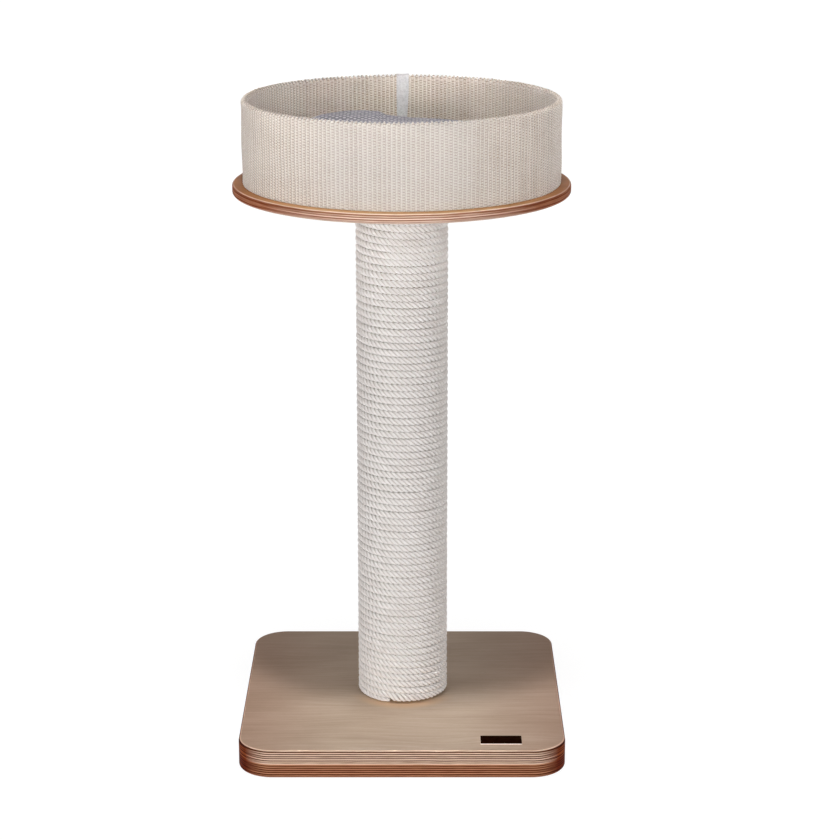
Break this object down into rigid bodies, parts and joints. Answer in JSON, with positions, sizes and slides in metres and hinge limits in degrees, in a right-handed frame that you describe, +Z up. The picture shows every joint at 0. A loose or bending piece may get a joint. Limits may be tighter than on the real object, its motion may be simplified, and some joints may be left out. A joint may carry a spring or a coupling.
{
  "type": "cat scratching post",
  "caption": "Free-standing cat scratching post: square plywood base, tall sisal-wound post and a round platform with a low sisal-covered basket wall and a loose plush cushion.",
  "frame": {"origin": "on the floor, under the middle of the base", "axes": "+Z up, +X to the right seen from the front, +Y to the back; the label is at the front right"},
  "size_m": [0.41, 0.41, 0.7995],
  "materials": {
    "birch_ply": "clear-oiled birch plywood, satin",
    "platform_ply": "clear-oiled birch plywood, satin",
    "beech_wood": "bare sawn wood",
    "grey_board": "hard wound board, matt",
    "sisal_rope": "undyed three-strand sisal, matt",
    "sisal_cloth": "ribbed woven sisal, matt",
    "seam_tape": "plain woven tape, matt",
    "plush": "short plush with pale flecks",
    "label_leather": "dark smooth leather, pale cut edge",
    "zinc_steel": "zinc plated"
  },
  "bodies": {
    "post_and_basket": {"base_lower_board": "birch_ply", "base_upper_board": "birch_ply", "label_plate": "label_leather", "base_bolt": "zinc_steel", "base_washer": "zinc_steel", "post_tube": "grey_board", "bottom_plug": "beech_wood", "top_plug": "beech_wood", "bottom_insert": "zinc_steel", "top_insert": "zinc_steel", "sisal_rope": "sisal_rope", "platform_disc": "platform_ply", "platform_washer": "zinc_steel", "platform_bolt": "zinc_steel", "basket_floor": "birch_ply", "basket_hoop": "grey_board", "sisal_cloth": "sisal_cloth", "seam_strip": "seam_tape", "bottom_plug_screw_1": "zinc_steel", "bottom_plug_screw_2": "zinc_steel", "bottom_plug_screw_3": "zinc_steel", "top_plug_screw_1": "zinc_steel", "top_plug_screw_2": "zinc_steel", "top_plug_screw_3": "zinc_steel", "floor_screw_1": "zinc_steel", "floor_screw_2": "zinc_steel", "floor_screw_3": "zinc_steel", "floor_screw_4": "zinc_steel", "floor_screw_5": "zinc_steel", "floor_screw_6": "zinc_steel", "hoop_nail_1": "zinc_steel", "hoop_nail_2": "zinc_steel", "hoop_nail_3": "zinc_steel", "hoop_nail_4": "zinc_steel", "hoop_nail_5": "zinc_steel", "hoop_nail_6": "zinc_steel"},
    "cushion": {"cushion": "plush"}
  },
  "joints": [
    {"name": "cushion_lift", "type": "slide", "parent": "post_and_basket", "child": "cushion", "axis": [0, 0, 1], "range_m": [0, 0.16]}
  ]
}
